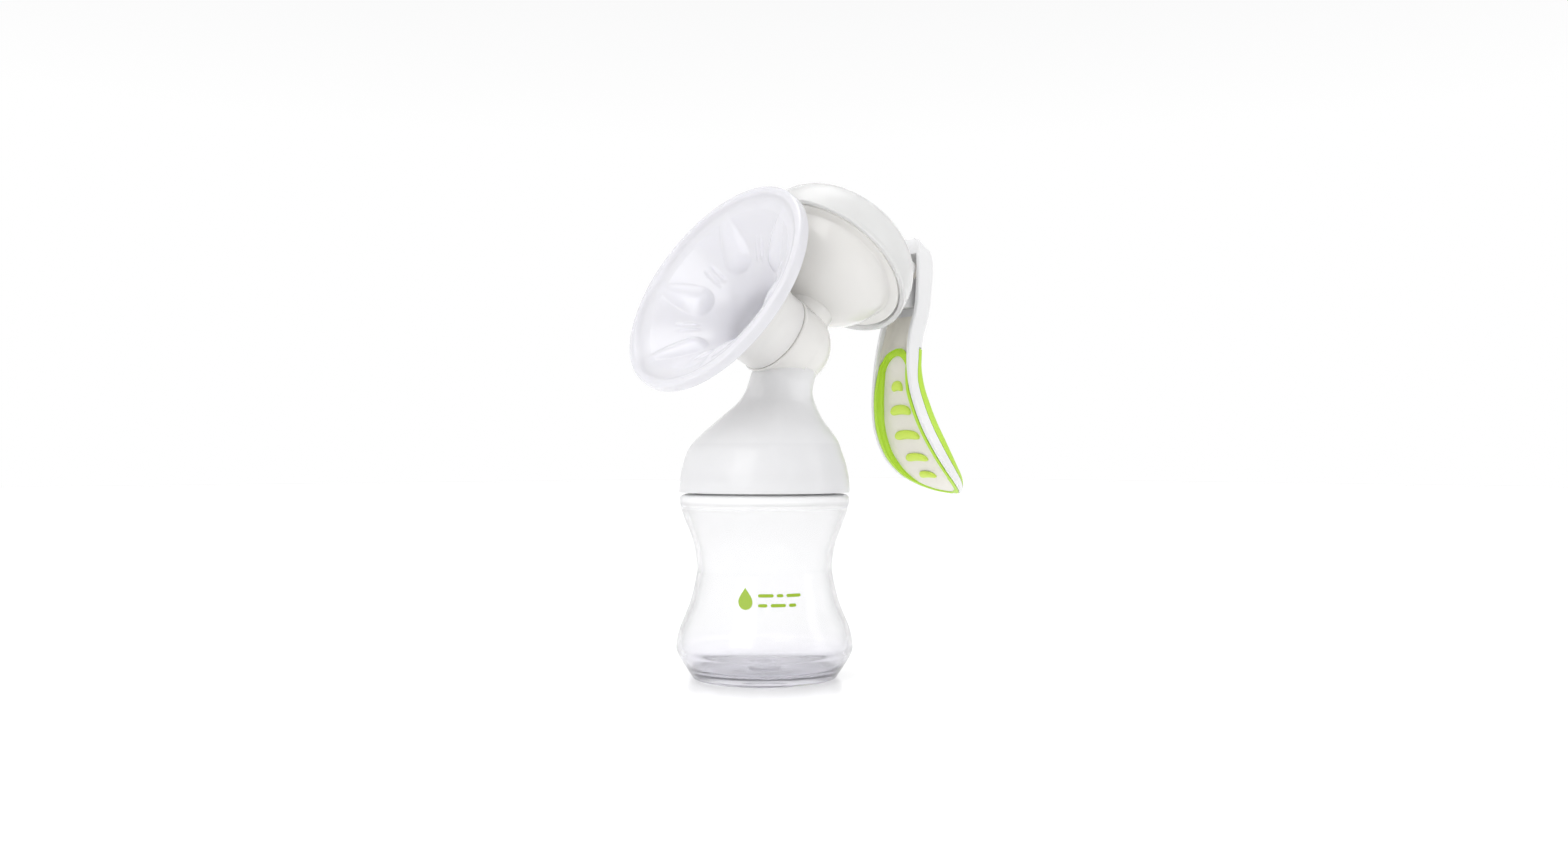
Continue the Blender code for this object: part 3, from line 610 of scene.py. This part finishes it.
def build_cushion():
    outer = smooth(CONE, 22)
    back = inset(outer, -SHIELD_WALL - 0.4)[9:]
    front = inset(outer, -SHIELD_WALL - 0.3 - CUSHION_THICK)[9:]
    rim = rounded([(38.6, -0.3), (41.2, -0.6, 0.2), (41.2, -3.4, 0.2), (LIP_R, -3.4, 0.4), (LIP_R, -1.0, 0.9),
                   (41.9, 0.6, 0.9), (39.8, 0.85, 1.2), (37.8, -0.6, 1.4), tuple(front[8])], 6)
    tail = rounded([tuple(back[-1]), (11.4, -29.0, 0.8), (11.4, -34.2, 0.4), (9.9, -34.2, 0.4),
                    (9.9, -28.7, 1.2), tuple(front[-1])], 5)[1:-1]
    body = front[8:]
    profile = [*reversed(back), *rim[:-1], *body, *reversed(tail)]
    start = len(back) + len(rim) - 1

    def push(index, turn):
        if not start <= index < start + len(body):
            return 0.0, 0.0
        point = profile[index]
        before, after = profile[index - 1], profile[min(index + 1, len(profile) - 1)]
        run = (Vector(after) - Vector(before)).normalized()
        rise = petal_height(point[0], turn)
        return -abs(run.y) * rise, abs(run.x) * rise
    cushion = turned("cushion_petals", profile, SILICONE, FUNNEL_PLACE, 300, push)
    cushion.data.set_sharp_from_angle(angle=pi)
    place_piece(cushion, "head", "silicone", "massage_cushion")


def build_o_ring():
    centre, thick, middle = 13.3, 0.45, -35.2
    profile = [(centre + thick * cos(tau * k / 14), middle + thick * sin(tau * k / 14)) for k in range(14)]
    ring = turned("o_ring_soft", profile, SOFT_CLEAR, FUNNEL_PLACE)
    place_piece(ring, "head", "silicone", "shield_o_ring")


# ---------------------------------------------------------------- diaphragm chamber

def dome_line(radius, height, low, parts=40):
    share = 2 / COVER_POWER
    line = []
    for k in range(parts + 1):
        angle = pi / 2 * k / parts
        line.append(Vector((radius * cos(angle) ** share if k < parts else 0.0,
                            COVER_LOW + height * sin(angle) ** share)))
    return [Vector((radius, low)), *line[1:]]


def build_cover():
    outside = dome_line(COVER_R, COVER_H, COVER_LOW)
    inside = dome_line(COVER_R - COVER_WALL, COVER_H - COVER_WALL, COVER_LOW)
    bore, bead = COVER_R - COVER_WALL, COVER_R + 0.15
    edge = rounded([(bore, COVER_LOW + 1.0), (bore, COVER_LOW, 0.5), (bead, COVER_LOW, 0.6),
                    (bead, COVER_LOW + 1.1, 0.4), (COVER_R, COVER_LOW + 1.6)], 4)
    profile = [*reversed(inside[1:]), *edge, *outside[1:]]
    cover = turned("cover_shell", profile, COVER_CLEAR, BOWL_PLACE, 128)
    hood = [(51.5, 161.7, 1), (61.0, 161.2, 6), (71.5, 157.7, 2), (73.3, 156.2, 1), (73.3, 154.0, 1),
            (71.0, 151.5, 1), (65.5, 148.0, 2), (61.5, 141.0, 2), (58.0, 137.2, 1), (54.8, 139.8, 1),
            (52.4, 143.8, 1), (54.5, 153.0, 1), (50.8, 159.8, 1)]
    combine(cover, [plate("cover_hood", hood, -7.2, 7.2, COVER_CLEAR),
                    rod("cover_boss", 4.1, -7.1, 7.1, COVER_CLEAR, PIVOT_PLACE)], "UNION")
    arm_slot = [(46.0, 147.1), (69.0, 126.0), (90.0, 126.0), (90.0, 154.4), (72.0, 154.6), (61.0, 158.0),
                (54.0, 152.5)]
    combine(cover, [plate("cover_arm_slot", arm_slot, -5.4, 5.4, COVER_CLEAR, soften=0.0),
                    rod("cover_pin_hole", PIN_HOLE_R, -6.9, 6.9, COVER_CLEAR, PIVOT_PLACE)], "DIFFERENCE")
    place_piece(cover, "head", "clear_cover", "chamber_cover")
    pin = rod("pivot_pin_turned", PIN_R, -6.7, 6.7, WHITE, PIVOT_PLACE)
    place_piece(pin, "head", "white_plastic", "pivot_pin")


def build_diaphragm():
    lower = rounded([(24.4, 1.5, 0.4), (24.4, -1.4, 0.4), (22.8, -2.0, 0.6), (20.8, -8.0, 3.0),
                     (16.6, -12.6, 3.0), (9.0, -14.6, 1.5), (2.6, -14.6)], 6)
    upper = rounded([(2.6, -13.4), (9.0, -13.4, 1.5), (15.7, -11.6, 3.0), (19.7, -7.4, 3.0),
                     (21.6, -0.6, 1.0), (22.2, 1.5, 0.3), (24.4, 1.5)], 6)[:-1]
    cup = turned("diaphragm_cup", [*lower, *upper], SOFT_CLEAR, BOWL_PLACE)
    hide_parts("diaphragm")
    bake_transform(cup)


def build_stem():
    profile = rounded([(0.0, -18.8), (1.6, -18.8, 0.4), (2.9, -17.2, 0.3), (2.1, -16.9, 0.1),
                       (2.1, -13.1, 0.2), (7.4, -13.1, 0.4), (7.4, -11.9, 0.4), (2.5, -11.6, 0.6),
                       (2.5, -3.2, 0.4), (4.4, -3.0, 0.3), (4.4, -1.9, 0.3), (2.0, -1.9, 0.2),
                       (2.0, 3.7, 0.2), (4.4, 3.7, 0.3), (4.2, 4.4, 0.3),
                       (2.6, 4.8, 0.6), (0.0, 4.8)], 3)
    stem = turned("stem_turned", profile, WHITE, BOWL_PLACE, 48)
    place_piece(stem, "stem", "white_plastic", "diaphragm_stem")
    edge = rounded([(2.5, -14.9), (2.5, -16.6, 0.2), (6.4, -16.6, 0.5), (7.0, -16.1, 0.3), (7.0, -14.9, 0.3),
                    (2.5, -14.9)], 3)[:-1]
    disc = turned("disc_turned", edge, WHITE, BOWL_PLACE, 48)
    place_piece(disc, "stem", "white_plastic", "stem_retaining_disc")


# ---------------------------------------------------------------- lever

LEVER_LINE = smooth(LEVER, 24)


def lever_at(share):
    """Edge point, its direction out of the back, half-width and depth at a share of the lever's length."""
    place = min(max(share, 0.0), 1.0) * (len(LEVER_LINE) - 1)
    at = min(int(place), len(LEVER_LINE) - 2)
    here = LEVER_LINE[at].lerp(LEVER_LINE[at + 1], place - at)
    low, high = max(at - 6, 0), min(at + 7, len(LEVER_LINE) - 1)
    run = (LEVER_LINE[high] - LEVER_LINE[low]).to_2d().normalized()
    return Vector((here[0], 0.0, here[1])), Vector((-run.y, 0.0, run.x)), here[2], here[3]


def half_line(half, top, back, corner, parts=7, bottom=7):
    """Half round a channel's section, as (y, depth): down one side, round the back and up the other."""
    corner = max(min(corner, half * 0.9, (back - top) * 0.9), 0.02)
    right = [(half, top + (back - corner - top) * k / 4) for k in range(4)]
    for k in range(parts + 1):
        angle = pi / 2 * k / parts
        right.append((half - corner + corner * cos(angle), back - corner + corner * sin(angle)))
    flat = [((half - corner) * (1 - 2 * k / bottom), back) for k in range(1, bottom)]
    return right + flat + [(-y, d) for y, d in reversed(right)]


def channel(name, shares, section, material):
    """Solid along the lever, whose section(half-width, depth, share) gives (y, depth) points."""
    rings = []
    for share in shares:
        edge, out, half, depth = lever_at(share)
        rings.append([edge + out * d + Vector((0.0, y, 0.0)) for y, d in section(half, depth, share)])
    return surface(name, rings, material)


def spread(low, high, count):
    return [low + (high - low) * k / count for k in range(count + 1)]


def opening(share):
    """How far the channel is open at a share of the lever's length: 0 at its closed ends."""
    return max(0.0, min(1.0, (share - 0.150) / 0.03, (0.972 - share) / 0.05)) ** 0.6


def floor_depth(depth, share):
    """How deep the channel's floor lies below its open edge: shallower behind the grip."""
    rise = min(max((share - 0.39) / 0.03, 0.0), 1.0)
    return 0.3 + max(depth - LEVER_FLOOR - PANEL * rise - 0.3, 0.3) * opening(share)


def lever_section(half, depth, share):
    skin = half_line(half, 0.35, depth, LEVER_CORNER)
    inner_half = max(half - LEVER_WALL, 0.3)
    floor = floor_depth(depth, share)
    core = half_line(inner_half, 0.25, max(floor, 0.32), min(2.0, 0.75 * floor))
    lip = min(0.35, half * 0.3)
    return [(half - lip, 0.0), *skin, (-half + lip, 0.0), (-inner_half - 0.1, 0.0), *core[::-1],
            (inner_half + 0.1, 0.0)]


def sheet_section(half, depth, reach, outer, inner):
    """Section of a sheet on the channel's back that reaches round its sides."""
    skin = half_line(half - outer, depth - reach, depth - outer, LEVER_CORNER - min(outer, 0.0))
    core = half_line(half - inner, depth - reach, depth - inner, max(LEVER_CORNER - inner, 0.3))
    return skin + core[::-1]


def pad_reach(depth, share):
    """How far the pad comes round onto the sides: more below its top end."""
    return PAD_REACH + (0.52 * depth - PAD_REACH) * min(max((share - 0.43) / 0.06, 0.0), 1.0)


def build_lever():
    lever = channel("lever_channel", spread(0.0, 1.0, 150), lever_section, WHITE)
    room = channel("pad_room", spread(0.4022, 0.9425, 90),
                   lambda w, d, s: sheet_section(w, d, pad_reach(d, s) + 0.3, -1.0, PAD + 0.15), WHITE)
    combine(lever, [room], "DIFFERENCE")
    web = [(56.9, 140.2, 1), (62.0, 138.6, 4), (77.0, 139.6, 1), (78.5, 141.0, 0.5), (80.2, 151.6, 0.5),
           (79.4, 152.4, 0.5), (64.0, 148.2, 4), (56.9, 147.0, 1)]
    arm = [(24.5, 3.2, 1), (24.5, 9.3, 1), (6.5, 3.4, 4), (-2.4, 2.4, 0.5), (-3.4, 1.7, 0.4),
           (-3.2, 0.7, 0.3), (-2.2, 0.3, 0.5), (5.0, 0.3, 4)]
    combine(lever, [plate("lever_web", web, -4.9, 4.9, WHITE),
                    plate("lever_arm", arm, -4.8, 4.8, WHITE, BOWL_PLACE, 0.4),
                    rod("lever_hub", 3.6, -5.0, 5.0, WHITE, PIVOT_PLACE)], "UNION")
    fork = [(-6.0, -6.0), (-6.0, 9.0), (3.4, 9.0), (3.4, -6.0)]
    combine(lever, [plate("fork_slot", fork, -2.7, 2.7, WHITE, BOWL_PLACE, 0.0),
                    rod("hub_bore", PIN_HOLE_R, -20.0, 20.0, WHITE, PIVOT_PLACE)], "DIFFERENCE")
    place_piece(lever, "handle", "white_plastic", "handle_lever")


def build_floor_shade():
    """Thin beige sheet on the channel's floor, above and below the web, painted as the shade in that recess
    of the white plastic.
    """
    def section(half, depth, share):
        inner = max(half - LEVER_WALL - 0.06, 0.2)
        floor = floor_depth(depth, share) - 0.05
        skin = half_line(inner, floor * 0.30, floor, min(2.0, 0.75 * floor))
        core = half_line(inner - 0.25, floor * 0.30, floor - 0.25, min(1.8, 0.70 * floor))
        return skin + core[::-1]
    for name, low, high in (("floor_shade_upper", 0.172, 0.232), ("floor_shade_lower", 0.318, 0.93)):
        shade_sheet = channel(name, spread(low, high, 60), section, PAINTED_FLOOR_SHADE)
        place_piece(shade_sheet, "handle", "white_plastic")


def build_grip():
    pad = channel("grip_pad_soft", spread(0.4063, 0.9375, 90),
                  lambda w, d, s: sheet_section(w, d, pad_reach(d, s), 0.0, PAD), PAD_GREEN)
    soften(pad, 0.3)
    place_piece(pad, "handle", "green_rubber", "grip_outer_pad")

    def rim_section(half, depth, share):
        """Band on the side walls that climbs from the floor at the arch to the rim."""
        arch = max(0.0, 1 - (max(0.455 - share, 0.0) / 0.051) ** 2) ** 0.5
        inner = max((half - LEVER_WALL - 0.40) * arch, 0.25)
        floor = floor_depth(depth, share) - 0.30
        rise = min(max((share - 0.435) / 0.08, 0.0), 1.0)
        top = (floor - 1.2) * (1 - rise**0.6) - 0.15 * rise
        skin = half_line(inner, top, floor, min(2.0, 0.7 * floor))
        core = half_line(max(inner - 1.3, 0.15), top, max(floor - 0.9, top + 0.15), min(1.5, 0.6 * floor))
        return skin + core[::-1]

    rim = channel("grip_rim_soft", spread(0.405, 0.938, 110), rim_section, GREEN)

    def middle_section(half, depth, share):
        """The opening narrows to a round arch at its top and to a point at its foot."""
        arch = max(0.0, 1 - (max(0.470 - share, 0.0) / 0.047) ** 2) ** 0.5
        foot = min(max((0.915 - share) / 0.05, 0.0), 1.0) ** 0.5
        return half_line(max((half - LEVER_WALL - 2.2) * arch * foot, 0.3), -3.0, depth + 3.0, 2.2)
    middle = channel("rim_opening", spread(0.4235, 0.910, 120), middle_section, GREEN)
    combine(rim, [middle], "DIFFERENCE")
    place_piece(rim, "handle", "green_rubber", "grip_inner_rim")
    for index, (share, length) in enumerate(BARS, 1):
        bar = grip_bar(f"grip_bar_soft_{index}", share, length)
        place_piece(bar, "handle", "lime_rubber", f"grip_bar_{index}")


def grip_bar(name, share, length):
    """Rounded bar across the channel's floor."""
    edge, out, _half, depth = lever_at(share)
    down = Vector((out.z, 0.0, -out.x))
    foot = edge + out * (floor_depth(depth, share) - 0.30)
    rings = []
    for k in range(31):
        y = -length * cos(pi * k / 30)
        slim = max((1 - (abs(y) / length) ** 5.0), 0.0) ** 0.5 * 0.97 + 0.03
        wide, tall = BAR_HALF * slim, BAR_RISE * (0.45 + 0.55 * slim)
        sag = (y / length) ** 2 - 0.5
        section = [(wide * cos(pi * j / 14), -tall * sin(pi * j / 14) ** 0.8) for j in range(15)]
        rings.append([foot + down * (a + sag) + out * b + Vector((0.0, y, 0.0)) for a, b in section])
    return surface(name, rings, LIME)


# ---------------------------------------------------------------- stage, light, camera

def build_stage():
    bm = bmesh.new()
    bmesh.ops.create_grid(bm, x_segments=2, y_segments=2, size=4000.0)
    floor = finish_mesh("floor", bm, floor_material())
    floor.location.z = -0.0002
    world = bpy.data.worlds.new("studio")
    bpy.context.scene.world = world
    world.use_nodes = True
    nodes, links = world.node_tree.nodes, world.node_tree.links
    back = nodes["Background"]
    place = nodes.new("ShaderNodeTexCoord")
    split = nodes.new("ShaderNodeSeparateXYZ")
    ramp = nodes.new("ShaderNodeValToRGB")
    links.new(place.outputs["Generated"], split.inputs["Vector"])
    links.new(split.outputs["Z"], ramp.inputs["Fac"])
    low, high = ramp.color_ramp.elements
    low.position, low.color = 0.25, (1.0, 1.0, 1.0, 1.0)
    high.position, high.color = 0.95, (0.68, 0.68, 0.69, 1.0)
    links.new(ramp.outputs["Color"], back.inputs["Color"])
    back.inputs["Strength"].default_value = 1.0


def floor_material():
    """Pale glossy floor with a little glow of its own, so that it stays as white as the backdrop."""
    made = plastic("floor_white", (0.94, 0.94, 0.94), 0.12, spread=0.0, depth=0.0)
    shader_of(made).inputs["Emission Color"].default_value = (1.0, 1.0, 1.0, 1.0)
    shader_of(made).inputs["Emission Strength"].default_value = 0.22
    return made


def lamp(name, place, target, size, power):
    light = bpy.data.lights.new(name, "AREA")
    light.shape = "RECTANGLE"
    light.size, light.size_y = size
    light.energy = power
    made = bpy.data.objects.new(name, light)
    made.location = place
    made.rotation_euler = (Vector(target) - Vector(place)).to_track_quat("-Z", "Y").to_euler()
    bpy.context.collection.objects.link(made)


def build_lights():
    lamp("key", (-0.75, -0.25, 0.55), (0.02, 0.0, 0.11), (0.5, 0.7), 3.0)
    lamp("side", (0.55, -0.70, 0.35), (0.03, 0.0, 0.10), (0.25, 0.7), 0.7)
    lamp("top", (0.05, 0.15, 0.85), (0.03, 0.0, 0.10), (0.6, 0.4), 1.6)


def build_camera():
    camera = bpy.data.cameras.new("camera")
    camera.sensor_width = 36.0
    camera.lens = CAMERA_LENS
    camera.clip_start = 0.01
    made = bpy.data.objects.new("camera", camera)
    made.location = CAMERA_AT
    made.rotation_euler = Vector(CAMERA_TOWARDS).to_track_quat("-Z", "Y").to_euler()
    bpy.context.collection.objects.link(made)
    bpy.context.scene.camera = made


build_camera()
bpy.context.scene.view_settings.view_transform = "Standard"
bottle_side = build_bottle()
build_print(bottle_side)
build_seal()
build_body()
build_valve()
build_shield()
build_cushion()
build_o_ring()
build_cover()
build_diaphragm()
build_stem()
build_lever()
build_floor_shade()
build_grip()
build_stage()
build_lights()

bpy.context.view_layer.update()
